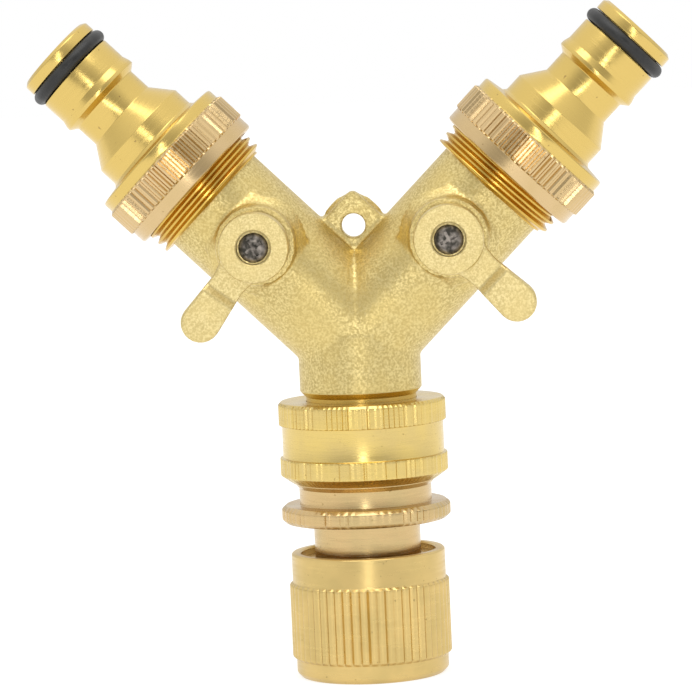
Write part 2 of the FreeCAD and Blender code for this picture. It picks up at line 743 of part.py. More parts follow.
def outlet(side):
    washerEnd = "arm_length + washer_thickness"
    grooveFloor = "o_ring_radius - o_ring_wire"
    turned(side + "_tap_adaptor", [
        ("thread_radius + thread_gap", "nut_face"),
        ("nut_smooth_radius - nut_edge", "nut_face"),
        ("nut_smooth_radius", "nut_face + nut_edge"),
        ("nut_smooth_radius", "nut_knurl_start"),
        ("nut_knurl_radius", "nut_knurl_start + 0.2"),
        ("nut_knurl_radius", "nut_knurl_end"),
        ("nut_disc_radius", "nut_disc_start"),
        ("nut_disc_radius", "nut_disc_end - nut_edge / 2"),
        ("nut_disc_radius - nut_edge", "nut_disc_end"),
        ("shoulder_radius + 0.6", "shoulder_start"),
        ("shoulder_radius", "shoulder_start + 0.6"),
        ("shoulder_radius", "shoulder_end"),
        ("groove_radius", "groove_start"),
        ("groove_radius", "groove_end"),
        ("ridge_radius", "ridge_start"),
        ("ridge_radius", "ridge_start + 0.5"),
        ("barrel_radius", "barrel_start"),
        ("barrel_radius", "o_ring_place - o_ring_wire - 0.1"),
        (grooveFloor, "o_ring_place - o_ring_wire - 0.1"),
        (grooveFloor, "o_ring_place + o_ring_wire + 0.1"),
        ("barrel_radius", "o_ring_place + o_ring_wire + 0.1"),
        ("barrel_radius", "nipple_end - nipple_edge"),
        ("barrel_radius - nipple_edge", "nipple_end"),
        ("nipple_flare", "nipple_end"),
        ("nipple_bore", "nipple_end - 2.5"),
        ("nipple_bore", washerEnd),
        ("thread_radius + thread_gap", washerEnd),
    ])
    along(side + "_tap_adaptor", side)
    turned(side + "_adaptor_washer", [
        ("washer_bore", "arm_length"),
        ("thread_radius - 0.3", "arm_length"),
        ("thread_radius - 0.3", washerEnd),
        ("washer_bore", washerEnd),
    ])
    along(side + "_adaptor_washer", side)
    ring = primitive("Torus", side + "_nipple_ring", Radius1="o_ring_radius + 0.02",
                     Radius2="o_ring_wire - 0.01")
    place(ring, ("0", "0", "o_ring_place"))
    group = document.addObject("Part::Compound", side + "_nipple_o_ring")
    group.Links = [ring]
    along(side + "_nipple_o_ring", side)


castBody()
inletPieces()
connectorPieces()
for side in sides:
    handle(side)
    screw(side)
    stem(side)
    valveBall(side)
    seats(side)
    outlet(side)
document.recompute()

nodes = [
    "y_body", "swivel_nut", "nut_retaining_ring", "inlet_washer", "filter_screen",
    "connector_body", "connector_sleeve", "sleeve_spring", "sleeve_snap_ring",
]
nodes += [f"locking_ball_{i + 1}" for i in range(lockCount)]
for side in sides:
    nodes += [
        f"{side}_{piece}" for piece in (
            "handle", "handle_screw", "valve_stem", "stem_seals", "valve_ball", "inner_seat",
            "outer_seat", "seat_retainer", "tap_adaptor", "adaptor_washer", "nipple_o_ring",
        )
    ]

for item in document.Objects:
    if {"Invalid", "Error"} & set(item.State):
        raise RuntimeError(f"{item.Name} did not rebuild: {item.State}")
os.makedirs("parts", exist_ok=True)
for name in nodes:
    item = document.getObject(name)
    item.Label = name
    shape = item.Shape
    if shape.isNull() or not shape.isValid():
        raise RuntimeError(f"{name} has no valid shape")
    shape.exportStep(f"parts/{name}.step")
    print(f"{name}: {len(shape.Solids)} solid, {shape.Volume:.1f} mm3")
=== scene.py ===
import bpy
import math
import random
import numpy as np
from mathutils import Matrix, Vector


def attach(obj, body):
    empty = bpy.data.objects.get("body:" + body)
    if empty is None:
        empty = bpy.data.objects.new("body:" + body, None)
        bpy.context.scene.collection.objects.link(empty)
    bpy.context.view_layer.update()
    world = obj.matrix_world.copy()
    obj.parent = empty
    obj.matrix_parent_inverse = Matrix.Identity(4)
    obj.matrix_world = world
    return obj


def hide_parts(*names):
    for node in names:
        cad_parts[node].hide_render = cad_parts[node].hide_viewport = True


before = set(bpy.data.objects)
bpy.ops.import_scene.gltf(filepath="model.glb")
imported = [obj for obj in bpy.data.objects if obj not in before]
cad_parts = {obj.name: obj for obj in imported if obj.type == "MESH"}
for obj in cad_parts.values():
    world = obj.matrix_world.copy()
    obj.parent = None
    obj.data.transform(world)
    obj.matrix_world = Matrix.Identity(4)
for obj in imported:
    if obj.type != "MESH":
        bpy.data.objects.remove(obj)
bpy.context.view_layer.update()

mm = 0.001
fullTurn = 2 * math.pi
mergeReach = 0.004 * mm     # points closer than this are one

# The splitter stands on its connector's mouth: Z up the inlet, front towards -Y, lengths below in mm.
layout = {"crossing": 65.3, "armTilt": 45, "stemDistance": 25.5, "leverTurn": {"left": 127.7, "right": 45}}
armTurn = {"left": -layout["armTilt"], "right": layout["armTilt"]}


# small helpers

def pickNothing():
    if bpy.context.object and bpy.context.object.mode != "OBJECT":
        bpy.ops.object.mode_set(mode="OBJECT")
    bpy.ops.object.select_all(action="DESELECT")


def pickOnly(*pieces):
    pickNothing()
    for piece in pieces:
        piece.select_set(True)
    bpy.context.view_layer.objects.active = pieces[0]


def pickVerts(piece, wanted):
    pickOnly(piece)
    bpy.ops.object.mode_set(mode="EDIT")
    bpy.ops.mesh.select_mode(type="VERT")
    bpy.ops.mesh.select_all(action="DESELECT")
    bpy.ops.object.mode_set(mode="OBJECT")
    flags = np.zeros(len(piece.data.vertices), bool)
    flags[wanted] = True
    piece.data.vertices.foreach_set("select", flags)
    bpy.ops.object.mode_set(mode="EDIT")


def vertPlaces(piece):
    places = np.zeros(len(piece.data.vertices) * 3, np.float32)
    piece.data.vertices.foreach_get("co", places)
    return places.reshape(-1, 3)


def newPiece(name):
    piece = bpy.context.object
    piece.name = piece.data.name = name
    return piece


def settle(piece, matrix=None):    # places a piece, with its place kept in its mesh
    pickOnly(piece)
    if matrix is not None:
        piece.matrix_world = matrix
    bpy.ops.object.transform_apply(location=True, rotation=True, scale=True)
    return piece


def tidyMesh(piece):
    pickOnly(piece)
    bpy.ops.object.mode_set(mode="EDIT")
    bpy.ops.mesh.select_all(action="SELECT")
    bpy.ops.mesh.remove_doubles(threshold=mergeReach)
    bpy.ops.mesh.normals_make_consistent(inside=False)
    bpy.ops.object.mode_set(mode="OBJECT")


def useModifier(piece, kind, **settings):
    pickOnly(piece)
    modifier = piece.modifiers.new(kind.lower(), kind)
    for key, value in settings.items():
        setattr(modifier, key, value)
    bpy.ops.object.modifier_apply(modifier=modifier.name)


def cutWith(piece, *tools, how="DIFFERENCE"):
    for tool in tools:
        useModifier(piece, "BOOLEAN", operation=how, object=tool, solver="MANIFOLD")
        bpy.data.objects.remove(tool)


def joinAll(name, *pieces):
    pickOnly(*pieces)
    bpy.ops.object.join()
    return newPiece(name)


def drawLine(name, points, closed=True):    # a wire through the points, drawn corner by corner
    pickNothing()
    bpy.ops.mesh.primitive_plane_add(size=mm)
    piece = newPiece(name)
    bpy.ops.object.mode_set(mode="EDIT")
    bpy.ops.mesh.merge(type="CENTER")
    bpy.ops.transform.translate(value=points[0])
    for old, new in zip(points, points[1:] + points[:1] if closed else points[1:]):
        bpy.ops.mesh.extrude_vertices_move(TRANSFORM_OT_translate={"value": new - old})
    bpy.ops.mesh.select_all(action="SELECT")
    bpy.ops.mesh.remove_doubles(threshold=mergeReach)
    return piece


def softCorners(outline, steps=3):    # corners are (across, up) or (across, up, rounding)
    points = []
    for i, corner in enumerate(outline):
        here = Vector(corner[:2])
        if len(corner) < 3:
            points.append(here)
            continue
        before = Vector(outline[i - 1][:2]) - here
        after = Vector(outline[(i + 1) % len(outline)][:2]) - here
        reach = corner[2] / math.tan(before.angle(after) / 2)
        start = here + before.normalized() * min(reach, 0.45 * before.length)
        end = here + after.normalized() * min(reach, 0.45 * after.length)
        for j in range(steps + 1):
            t = j / steps
            points.append((1 - t) ** 2 * start + 2 * t * (1 - t) * here + t * t * end)
    return points


def turnPiece(name, outline, steps):    # on a lathe: the outline of radius and height, spun about Z
    points = [Vector((p.x, 0, p.y)) * mm for p in softCorners(outline)]
    piece = drawLine(name, points)
    bpy.ops.mesh.spin(steps=steps, angle=fullTurn, center=(0, 0, 0), axis=(0, 0, 1))
    tidyMesh(piece)
    return piece


def prismPiece(name, outline, bottom, top):    # the outline of X and Y, raised along Z
    points = [Vector((p.x, p.y, bottom)) * mm for p in softCorners(outline)]
    piece = drawLine(name, points)
    bpy.ops.mesh.edge_face_add()
    bpy.ops.mesh.extrude_region_move(TRANSFORM_OT_translate={"value": (0, 0, (top - bottom) * mm)})
    tidyMesh(piece)
    return piece


def cutTeeth(piece, cut):    # presses the gaps between knurl teeth or flutes inwards
    dice = random.Random(cut["seed"])
    grades = [dice.choice(cut["grades"]) for _ in range(cut["teeth"])]
    samples = len(cut["gap"])
    spots = cut["teeth"] * samples
    places = vertPlaces(piece) / mm
    radius = np.hypot(places[:, 0], places[:, 1])
    spot = np.rint(np.arctan2(places[:, 1], places[:, 0]) / fullTurn * spots).astype(int) % spots
    inBand = (places[:, 2] > cut["low"]) & (places[:, 2] < cut["high"]) & (radius > cut["crest"] - 0.25)
    depth = np.array([cut["gap"][s % samples] * grades[s // samples] for s in spot]) * cut["depth"]
    depth = np.where(inBand, depth, 0).round(3)
    for step in sorted(set(depth[depth > 0])):
        pickVerts(piece, np.nonzero(depth == step)[0])
        shrink = 1 - step / cut["crest"]
        bpy.ops.transform.resize(value=(shrink, shrink, 1), center_override=(0, 0, 0))
    bpy.ops.object.mode_set(mode="OBJECT")


def stepsFor(cut):    # a lathe turn has as many steps as its teeth need
    return cut["teeth"] * len(cut["gap"])


def keepOwnPlace(piece):    # finishes that follow the lathe read where each point was on it
    attribute = piece.data.attributes.new("ownPlace", "FLOAT_VECTOR", "POINT")
    attribute.data.foreach_set("vector", vertPlaces(piece).ravel())


def armMatrix(side):
    return (Matrix.Translation((0, 0, layout["crossing"] * mm))
            @ Matrix.Rotation(math.radians(armTurn[side]), 4, "Y"))


def stemMatrix(side, leverTurn=None):
    turn = layout["leverTurn"][side] if leverTurn is None else leverTurn
    base = armMatrix(side) @ Vector((0, 0, layout["stemDistance"] * mm))
    return (Matrix.Translation(base) @ Matrix.Rotation(math.radians(turn), 4, "Y")
            @ Matrix.Rotation(math.radians(90), 4, "X"))


def copyPiece(piece, name):
    pickOnly(piece)
    bpy.ops.object.duplicate()
    return newPiece(name)


def showPiece(piece, body, material, nodes=(), angle=35):
    pickOnly(piece)
    bpy.ops.object.shade_smooth_by_angle(angle=math.radians(angle))
    piece.data.materials.clear()
    piece.data.materials.append(material)
    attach(piece, body)
    if nodes:
        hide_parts(*nodes)


# finishes

def addNode(tree, kind, **values):
    node = tree.nodes.new(kind)
    for key, value in values.items():
        if isinstance(value, bpy.types.NodeSocket):
            tree.links.new(value, node.inputs[key])
        elif key in node.inputs:
            node.inputs[key].default_value = value
        else:
            setattr(node, key, value)
    return node


def addMix(tree, share, first, second):
    node = tree.nodes.new("ShaderNodeMix")
    node.data_type = "RGBA"
    for socket, value in ((node.inputs[0], share), (node.inputs[6], first), (node.inputs[7], second)):
        if isinstance(value, bpy.types.NodeSocket):
            tree.links.new(value, socket)
        else:
            socket.default_value = value
    return node.outputs[2]


def addRange(tree, value, low, high, toLow, toHigh, smooth=False):
    node = tree.nodes.new("ShaderNodeMapRange")
    if smooth:
        node.interpolation_type = "SMOOTHSTEP"
    tree.links.new(value, node.inputs[0])
    for i, number in enumerate((low, high, toLow, toHigh), start=1):
        node.inputs[i].default_value = number
    return node.outputs[0]


def addMath(tree, what, first, second):
    node = tree.nodes.new("ShaderNodeMath")
    node.operation = what
    for socket, value in zip(node.inputs, (first, second)):
        if isinstance(value, bpy.types.NodeSocket):
            tree.links.new(value, socket)
        else:
            socket.default_value = value
    return node.outputs[0]


def startGroup(name, inputs, outputs):
    tree = bpy.data.node_groups.new(name, "ShaderNodeTree")
    for label, kind, value in inputs:
        socket = tree.interface.new_socket(label, in_out="INPUT", socket_type=kind)
        if value is not None:
            socket.default_value = value
    for label in outputs:
        tree.interface.new_socket(label, in_out="OUTPUT", socket_type="NodeSocketFloat")
    return tree, tree.nodes.new("NodeGroupInput").outputs, tree.nodes.new("NodeGroupOutput").inputs


def makeTurningLines():    # fine rings left by the lathe, and the slower waves between them
    tree, given, made = startGroup(
        "turningLines", [("Place", "NodeSocketVector", None), ("Fineness", "NodeSocketFloat", 2600)],
        ["Height", "Tone"])
    stretch = addNode(tree, "ShaderNodeMapping", Vector=given["Place"], Scale=(60, 60, 1000))
    scaled = addNode(tree, "ShaderNodeVectorMath", operation="SCALE")
    tree.links.new(stretch.outputs[0], scaled.inputs[0])
    tree.links.new(addMath(tree, "MULTIPLY", given["Fineness"], 0.001), scaled.inputs["Scale"])
    fine = addNode(tree, "ShaderNodeTexNoise", Vector=scaled.outputs[0], Scale=1, Detail=2)
    slow = addNode(tree, "ShaderNodeTexNoise", Vector=stretch.outputs[0], Scale=0.35, Detail=1)
    tree.links.new(addMath(tree, "ADD", fine.outputs[0], slow.outputs[0]), made["Height"])
    tree.links.new(fine.outputs[0], made["Tone"])
    return tree


def makeHandlingMarks():    # faint tarnish clouds and small dark specks
    tree, given, made = startGroup(
        "handlingMarks", [("Place", "NodeSocketVector", None)], ["Cloud", "Speck"])
    cloud = addNode(tree, "ShaderNodeTexNoise", Vector=given["Place"], Scale=140, Detail=3)
    speck = addNode(tree, "ShaderNodeTexNoise", Vector=given["Place"], Scale=1100, Detail=1)
    tree.links.new(addRange(tree, cloud.outputs[0], 0.35, 0.7, 0, 1, True), made["Cloud"])
    tree.links.new(addRange(tree, speck.outputs[0], 0.72, 0.8, 0, 1, True), made["Speck"])
    return tree


def makeBlastGrain():    # the matt skin of a blasted casting, with a mask of its raised grains that also paints glints and pit shade into the colour
    tree, given, made = startGroup(
        "blastGrain", [("Place", "NodeSocketVector", None), ("Grains", "NodeSocketFloat", 2600)],
        ["Height", "GrainAndPaintedGlint"])
    grain = addNode(tree, "ShaderNodeTexNoise", Vector=given["Place"], Scale=given["Grains"],
                    Detail=2, Roughness=0.6)
    dents = addNode(tree, "ShaderNodeTexVoronoi", Vector=given["Place"], feature="SMOOTH_F1",
                    Scale=addMath(tree, "MULTIPLY", given["Grains"], 0.55))
    waves = addNode(tree, "ShaderNodeTexNoise", Vector=given["Place"], Scale=320, Detail=2)
    height = addMath(tree, "ADD", grain.outputs[0], addMath(tree, "MULTIPLY", dents.outputs[0], 0.8))
    height = addMath(tree, "ADD", height, addMath(tree, "MULTIPLY", waves.outputs[0], 1.2))
    tree.links.new(height, made["Height"])
    # this mask is high on the grain noise's raised spots; on colour it paints a glint there and shade in the
    # low spots between, and on roughness it is the grain's own smoothness
    tree.links.new(addRange(tree, grain.outputs[0], 0.4, 0.62, 0, 1), made["GrainAndPaintedGlint"])
    return tree


turningLines = makeTurningLines()
handlingMarks = makeHandlingMarks()
blastGrain = makeBlastGrain()


def useGroup(tree, group, **values):
    node = tree.nodes.new("ShaderNodeGroup")
    node.node_tree = group
    for key, value in values.items():
        if isinstance(value, bpy.types.NodeSocket):
            tree.links.new(value, node.inputs[key])
        else:
            node.inputs[key].default_value = value
    return node.outputs


def startMaterial(name, metal=1.0):
    material = bpy.data.materials.new(name)
    material.use_nodes = True
    tree = material.node_tree
    surface = tree.nodes["Principled BSDF"]
    surface.inputs["Metallic"].default_value = metal
    return material, tree, surface


def addBump(tree, surface, height, distance, strength=1.0):
    bump = addNode(tree, "ShaderNodeBump", Height=height, Distance=distance * mm, Strength=strength)
    tree.links.new(bump.outputs[0], surface.inputs["Normal"])


def ownPlace(tree):
    return addNode(tree, "ShaderNodeAttribute", attribute_name="ownPlace").outputs["Vector"]


def objectPlace(tree):
    return tree.nodes.new("ShaderNodeTexCoord").outputs["Object"]


def turnedFinish(name, look):
    material, tree, surface = startMaterial(name)
    place = ownPlace(tree)
    lines = useGroup(tree, turningLines, Place=place, Fineness=look["fineness"])
    marks = useGroup(tree, handlingMarks, Place=place)
    colour = addMix(tree, marks["Cloud"], look["colour"], look["clouded"])
    if "second" in look:    # the rest of the piece, past a height on the lathe, has another colour
        height = addNode(tree, "ShaderNodeSeparateXYZ", Vector=place).outputs["Z"]
        past = addRange(tree, height, (look["change"] - 0.15) * mm, (look["change"] + 0.15) * mm, 0, 1)
        colour = addMix(tree, past, colour, look["second"])
    colour = addMix(tree, addMath(tree, "MULTIPLY", marks["Speck"], 0.6), colour, look["speck"])
    tree.links.new(colour, surface.inputs["Base Color"])
    low, high = look["roughness"]
    tree.links.new(addRange(tree, lines["Tone"], 0.3, 0.7, low, high), surface.inputs["Roughness"])
    addBump(tree, surface, lines["Height"], look["bump"])
    return material


def blastedFinish(name, look):
    material, tree, surface = startMaterial(name)
    place = objectPlace(tree)
    grain = useGroup(tree, blastGrain, Place=place, Grains=look["grains"])
    marks = useGroup(tree, handlingMarks, Place=place)
    # painted glint and painted shade: the colour goes from the dark pit colour in the grain's low spots to
    # the bright colour on its raised spots, along the same noise that raises the bump
    colour = addMix(tree, grain["GrainAndPaintedGlint"], look["pitShadeAndTone"], look["colour"])
    colour = addMix(tree, addMath(tree, "MULTIPLY", marks["Cloud"], 0.5), colour, look["clouded"])
    tree.links.new(colour, surface.inputs["Base Color"])
    low, high = look["roughness"]
    tree.links.new(addRange(tree, grain["GrainAndPaintedGlint"], 0, 1, high, low), surface.inputs["Roughness"])
    addBump(tree, surface, grain["Height"], look["bump"])
    return material


# the dark pit colour is partly the blasted skin's own tone and partly painted shade in the grain's low spots
castBrass = blastedFinish("castBrass", {
    "colour": (0.76, 0.62, 0.28, 1), "pitShadeAndTone": (0.55, 0.43, 0.17, 1), "clouded": (0.70, 0.54, 0.20, 1),
    "roughness": (0.34, 0.5), "grains": 2300, "bump": 0.05})
leverBrass = blastedFinish("leverBrass", {
    "colour": (0.76, 0.63, 0.31, 1), "pitShadeAndTone": (0.62, 0.49, 0.21, 1), "clouded": (0.72, 0.57, 0.24, 1),
    "roughness": (0.36, 0.48), "grains": 2900, "bump": 0.03})
nutBrass = turnedFinish("nutBrass", {
    "colour": (0.72, 0.54, 0.18, 1), "clouded": (0.66, 0.50, 0.19, 1), "speck": (0.3, 0.2, 0.07, 1),
    "roughness": (0.2, 0.3), "fineness": 2600, "bump": 0.004})
pinkBrass = turnedFinish("pinkBrass", {
    "colour": (0.62, 0.44, 0.21, 1), "clouded": (0.56, 0.42, 0.2, 1), "speck": (0.3, 0.2, 0.07, 1),
    "roughness": (0.2, 0.32), "fineness": 2600, "bump": 0.005})
sleeveBrass = turnedFinish("sleeveBrass", {
    "colour": (0.70, 0.51, 0.20, 1), "clouded": (0.62, 0.46, 0.18, 1), "speck": (0.3, 0.2, 0.07, 1),
    "roughness": (0.26, 0.38), "fineness": 2200, "bump": 0.006})
adaptorBrass = turnedFinish("adaptorBrass", {
    "colour": (0.66, 0.48, 0.25, 1), "clouded": (0.62, 0.45, 0.22, 1), "speck": (0.25, 0.15, 0.06, 1),
    "second": (0.68, 0.49, 0.15, 1), "change": 49.6,
    "roughness": (0.17, 0.28), "fineness": 2800, "bump": 0.005})
threadBrass = turnedFinish("threadBrass", {
    "colour": (0.72, 0.49, 0.11, 1), "clouded": (0.62, 0.40, 0.09, 1), "speck": (0.3, 0.17, 0.05, 1),
    "roughness": (0.2, 0.3), "fineness": 2600, "bump": 0.004})


def rubberFinish(name, colour):
    material, tree, surface = startMaterial(name, metal=0.0)
    place = objectPlace(tree)
    bloom = addNode(tree, "ShaderNodeTexNoise", Vector=place, Scale=420, Detail=3)
    pale = tuple(c * 2.2 + 0.01 for c in colour[:3]) + (1,)
    tree.links.new(addMix(tree, addRange(tree, bloom.outputs[0], 0.4, 0.75, 0, 1), colour, pale),
                   surface.inputs["Base Color"])
    tree.links.new(addRange(tree, bloom.outputs[0], 0.3, 0.7, 0.35, 0.55), surface.inputs["Roughness"])
    fine = addNode(tree, "ShaderNodeTexNoise", Vector=place, Scale=3500, Detail=2)
    addBump(tree, surface, fine.outputs[0], 0.01)
    return material


def steelFinish(name, colour, dark, roughness, rust=0.0):
    material, tree, surface = startMaterial(name)
    place = objectPlace(tree)
    patches = addNode(tree, "ShaderNodeTexNoise", Vector=place, Scale=900, Detail=4)
    share = addRange(tree, patches.outputs[0], 0.38, 0.62, 0, 1)
    tint = addMix(tree, share, dark, colour)
    tree.links.new(tint, surface.inputs["Base Color"])
    tree.links.new(addRange(tree, share, 0, 1, roughness + 0.2, roughness), surface.inputs["Roughness"])
    tree.links.new(addRange(tree, share, 0, 1, 1 - rust, 1), surface.inputs["Metallic"])
    addBump(tree, surface, patches.outputs[0], 0.02)
    return material


blackRubber = rubberFinish("blackRubber", (0.012, 0.012, 0.011, 1))
whiteSeat = rubberFinish("whiteSeat", (0.38, 0.38, 0.36, 1))
springSteel = steelFinish("springSteel", (0.45, 0.45, 0.44, 1), (0.25, 0.25, 0.25, 1), 0.25)
meshSteel = steelFinish("meshSteel", (0.5, 0.5, 0.48, 1), (0.32, 0.32, 0.3, 1), 0.3)
ballSteel = steelFinish("ballSteel", (0.58, 0.58, 0.57, 1), (0.4, 0.4, 0.4, 1), 0.12)
ballChrome = steelFinish("ballChrome", (0.6, 0.6, 0.6, 1), (0.5, 0.5, 0.5, 1), 0.08)
screwSteel = steelFinish("screwSteel", (0.26, 0.23, 0.2, 1), (0.05, 0.045, 0.035, 1), 0.32, 0.4)
print("finishes made")


# casting

casting = {
    "armRadius": 11.27, "armEnd": 37.1, "neckRadius": 11.57, "neckBottom": 54.55,
    "bossRadius": 7.5, "bossTop": 15.2, "bossRootRadius": 9.6, "bossRootFoot": 9.2,
    "bossRootHeight": 11.6,
    "lugCentre": 20.35, "lugHalfSide": 5.0, "lugCorner": 1.6, "lugThickness": 4.0, "lugHole": 2.25,
    "flashRadius": 5.9, "flashThickness": 0.8, "flashBehind": 0.8,
    "voxel": 0.4, "smoothing": 5,
    "spare": 2,              # left past each end until it is machined
    "inletBore": 7.0, "passage": 5.0, "cavity": 8.4, "cavityStart": 16.35, "stemHole": 2.95,
    "collarHole": 3.75, "collarTop": 9.6, "inletTool": 40, "armTool": 60, "stemTool": 20,
}
axisGap = 0.001              # an outline stops this far from the axis, and merging closes it


def addRod(name, radius, bottom, top, segments=96, radiusTop=None):
    pickNothing()
    bpy.ops.mesh.primitive_cone_add(
        vertices=segments, radius1=radius * mm, radius2=(radiusTop or radius) * mm,
        depth=(top - bottom) * mm, location=(0, 0, (top + bottom) / 2 * mm))
    piece = newPiece(name)
    return settle(piece)


def makeLug():
    half = casting["lugHalfSide"]
    corner = casting["lugCorner"]
    reach = half * math.sqrt(2)
    plate = prismPiece("lug", [(0, -reach), (reach, 0, corner), (0, reach, corner), (-reach, 0, corner)],
                       -casting["lugThickness"] / 2, casting["lugThickness"] / 2)
    cutWith(plate, addRod("lugDrill", casting["lugHole"], -5, 5, 48))
    upright = (Matrix.Translation((0, 0, (layout["crossing"] + casting["lugCentre"]) * mm))
               @ Matrix.Rotation(math.radians(90), 4, "X"))
    return settle(plate, upright)


def makeFlash():
    disc = addRod("flash", casting["flashRadius"], -casting["flashThickness"] / 2,
                  casting["flashThickness"] / 2, 64)
    cutWith(disc, addRod("flashDrill", casting["lugHole"], -2, 2, 48))
    upright = (Matrix.Translation((0, casting["flashBehind"] * mm,
                                   (layout["crossing"] + casting["lugCentre"]) * mm))
               @ Matrix.Rotation(math.radians(90), 4, "X"))
    return settle(disc, upright)


def makeCasting():
    parts = [addRod("neck", casting["neckRadius"], casting["neckBottom"] - casting["spare"],
                    layout["crossing"])]
    for side in armTurn:
        arm = addRod(side + "Arm", casting["armRadius"], 0, casting["armEnd"] + casting["spare"])
        parts.append(settle(arm, armMatrix(side)))
        boss = addRod(side + "Boss", casting["bossRadius"], 0, casting["bossTop"])
        parts.append(settle(boss, stemMatrix(side, 0)))
        root = addRod(side + "Root", casting["bossRootRadius"], casting["bossRootFoot"],
                      casting["bossRootHeight"],
                      radiusTop=casting["bossRadius"] - 0.2)
        parts.append(settle(root, stemMatrix(side, 0)))
    parts += [makeLug(), makeFlash()]
    body = joinAll("castBody", *parts)
    useModifier(body, "REMESH", mode="VOXEL", voxel_size=casting["voxel"] * mm)
    useModifier(body, "SMOOTH", factor=0.5, iterations=casting["smoothing"])
    return body


def trimCasting(body):    # machined ends: square to each arm and to the inlet
    pickOnly(body)
    bpy.ops.object.mode_set(mode="EDIT")
    for side in armTurn:
        matrix = armMatrix(side)
        bpy.ops.mesh.select_all(action="SELECT")
        bpy.ops.mesh.bisect(plane_co=matrix @ Vector((0, 0, casting["armEnd"] * mm)),
                            plane_no=matrix.to_3x3() @ Vector((0, 0, 1)),
                            use_fill=True, clear_outer=True)
    bpy.ops.mesh.select_all(action="SELECT")
    bpy.ops.mesh.bisect(plane_co=(0, 0, casting["neckBottom"] * mm), plane_no=(0, 0, -1),
                        use_fill=True, clear_outer=True)
    bpy.ops.object.mode_set(mode="OBJECT")


def waterwayTool(side):
    tool = turnPiece(side + "Waterway", [
        (axisGap, -1), (casting["passage"], -1), (casting["passage"], casting["cavityStart"]),
        (casting["cavity"], casting["cavityStart"]), (casting["cavity"], casting["armTool"]),
        (axisGap, casting["armTool"])], 64)
    return settle(tool, armMatrix(side))


def stemTool(side):
    tool = turnPiece(side + "StemHole", [
        (axisGap, 0), (casting["collarHole"], 0), (casting["collarHole"], casting["collarTop"]),
        (casting["stemHole"], casting["collarTop"]), (casting["stemHole"], casting["stemTool"]),
        (axisGap, casting["stemTool"])], 48)
    return settle(tool, stemMatrix(side, 0))


castBody = makeCasting()
trimCasting(castBody)
cutWith(castBody, addRod("inletDrill", casting["inletBore"], casting["inletTool"],
                         layout["crossing"] + 0.5, 64))
for side in armTurn:
    cutWith(castBody, waterwayTool(side), stemTool(side))
showPiece(castBody, "splitter", castBrass, ["y_body"])
print("casting done", len(castBody.data.polygons))

neck = {"steps": 192, "pivot": 10.45, "groove": 0.9, "chamfer": 1.15, "end": 47.4, "ringTop": 50.35,
        "ringBottom": 49.25, "inset": 0.06, "lap": 0.02}


def makeNeckEnd():    # the turned end that the swivel nut runs on
    piece = turnPiece("neckEnd", [
        (casting["inletBore"], neck["end"]), (neck["pivot"], neck["end"], 0.2),
        (neck["pivot"], neck["ringBottom"]), (neck["pivot"] - neck["groove"], neck["ringBottom"]),
        (neck["pivot"] - neck["groove"], neck["ringTop"]), (neck["pivot"], neck["ringTop"]),
        (neck["pivot"], casting["neckBottom"] - neck["chamfer"], 0.2),
        (casting["neckRadius"] - neck["inset"], casting["neckBottom"] - neck["inset"]),
        (casting["neckRadius"] - neck["inset"], casting["neckBottom"] + neck["lap"]),
        (casting["inletBore"], casting["neckBottom"] + neck["lap"])], neck["steps"])
    keepOwnPlace(piece)
    showPiece(piece, "splitter", nutBrass, ["y_body"])


makeNeckEnd()

thread = {"outside": 13.22, "depth": 1.16, "pitch": 1.814, "start": 37.1, "end": 48.6, "steps": 128,
          "crest": 0.42, "root": 0.32, "dulled": 0.05, "edge": 0.1, "chamfer": 1.2}


wireMerge = 0.01 * mm


def makeThreads():    # one pitch of the thread's outline, wound up the arm and cut square
    inside = thread["outside"] - thread["depth"]
    start = thread["start"] - 1.5 * thread["pitch"]
    pitch = thread["pitch"]
    flank = (pitch - thread["crest"] - thread["root"]) / 2
    crest = thread["crest"]
    dulled = thread["outside"] - thread["dulled"]
    corners = [(dulled, 0), (thread["outside"], thread["edge"]), (thread["outside"], crest - thread["edge"]),
               (dulled, crest), (inside, crest + flank), (inside, crest + flank + thread["root"]),
               (dulled, pitch)]
    points = [Vector((r, 0, start + z)) * mm for r, z in corners]
    piece = drawLine("threadPattern", points, closed=False)
    turns = math.ceil((thread["end"] - thread["start"]) / pitch) + 3
    useModifier(piece, "SCREW", angle=fullTurn, screw_offset=pitch * mm, iterations=turns,
                steps=thread["steps"], render_steps=thread["steps"], use_merge_vertices=True,
                merge_threshold=wireMerge, axis="Z")
    pickOnly(piece)
    bpy.ops.object.mode_set(mode="EDIT")
    bpy.ops.mesh.select_all(action="SELECT")
    bpy.ops.mesh.remove_doubles(threshold=wireMerge)
    for height, way in ((thread["start"] - neck["lap"], -1), (thread["end"], 1)):
        bpy.ops.mesh.select_all(action="SELECT")
        bpy.ops.mesh.bisect(plane_co=(0, 0, height * mm), plane_no=(0, 0, way), use_fill=True,
                            clear_outer=True)
    tidyMesh(piece)
    chamfer = turnPiece("threadEnd", [
        (thread["outside"] + 1, thread["end"] + 1), (thread["outside"] + 1,
                                                     thread["end"] - thread["chamfer"] - 1),
        (thread["outside"] - thread["chamfer"], thread["end"]),
        (thread["outside"] - thread["chamfer"], thread["end"] + 1)], 96)
    cutWith(piece, chamfer)
    cutWith(piece, addRod("armDrill", casting["cavity"], thread["start"] - 3, thread["end"] + 3, 96))
    keepOwnPlace(piece)
    for side in armTurn:
        wound = copyPiece(piece, side + "ArmThread")
        settle(wound, armMatrix(side))
        showPiece(wound, "splitter", threadBrass, ["y_body"], 25)
    bpy.data.objects.remove(piece)


makeThreads()
print("neck end and threads done")


# levers

